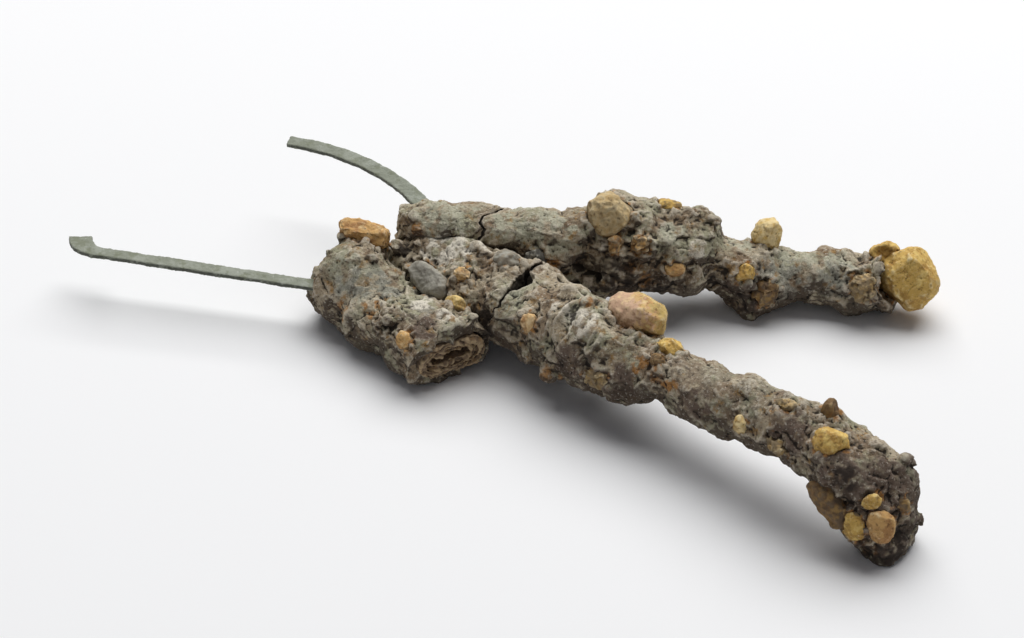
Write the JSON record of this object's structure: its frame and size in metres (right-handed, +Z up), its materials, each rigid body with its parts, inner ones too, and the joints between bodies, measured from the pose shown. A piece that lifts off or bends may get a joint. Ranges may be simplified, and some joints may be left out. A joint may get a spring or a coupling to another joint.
{
  "type": "roman strigil",
  "caption": "Corroded iron strigils crossed and rusted together, with a broken handle, ends of a flat bronze carrying hoop and gravel cemented into the crust.",
  "frame": {"origin": "centre of the box's underside, on the plane the group rests on", "axes": "+Z up, +X to the right of the picture along the rear strigil, +Y away from the viewer"},
  "size_m": [0.3356, 0.2128, 0.0513],
  "materials": {
    "iron_crust": "rough matt crust of rust, soil and grit",
    "iron_core": "dark corroded iron",
    "bronze": "grey-green verdigris",
    "golden_stone": "matt weathered flint",
    "orange_stone": "matt iron-stained flint",
    "tan_stone": "matt weathered flint",
    "brown_stone": "matt iron-stained stone",
    "dark_stone": "smooth dark stone"
  },
  "bodies": {
    "root": {"front_handle": "iron_crust", "front_blade": "iron_crust", "rear_handle": "iron_crust", "rear_blade": "iron_crust", "stub_crust": "iron_crust", "front_core": "iron_core", "rear_core": "iron_core", "stub_wall": "iron_core", "stub_lining": "iron_core", "hoop_hook": "bronze", "hoop_curve": "bronze", "rear_end_cobble": "golden_stone", "rear_ledge_pebble": "golden_stone", "front_slant_pebble": "golden_stone", "front_side_pebble": "golden_stone", "front_tip_yellow": "golden_stone", "rear_step_pebble": "golden_stone", "stub_break_pebble": "golden_stone", "rear_end_nodule": "golden_stone", "rear_crown_pebble": "golden_stone", "front_tip_grain": "golden_stone", "front_bend_cobble": "golden_stone", "rear_bud_left": "orange_stone", "rear_bud_right": "orange_stone", "rear_belly_pebble": "orange_stone", "front_crack_pebble": "orange_stone", "front_tip_orange": "orange_stone", "front_handle_pebble": "orange_stone", "stub_back_cobble": "orange_stone", "stub_front_grain": "orange_stone", "front_ridge_cobble": "orange_stone", "rear_saddle_pebble": "tan_stone", "rear_blade_pebble": "tan_stone", "front_low_pebble": "tan_stone", "front_crest_pebble": "tan_stone", "front_hip_pebble": "tan_stone", "rear_foot_pebble": "brown_stone", "front_rust_pebble": "brown_stone", "front_bend_slab": "brown_stone", "front_tip_red": "brown_stone", "front_bend_knob": "brown_stone", "rear_wedge_stone": "dark_stone", "front_valley_lens": "dark_stone", "front_ring_knob": "dark_stone"}
  },
  "joints": []
}
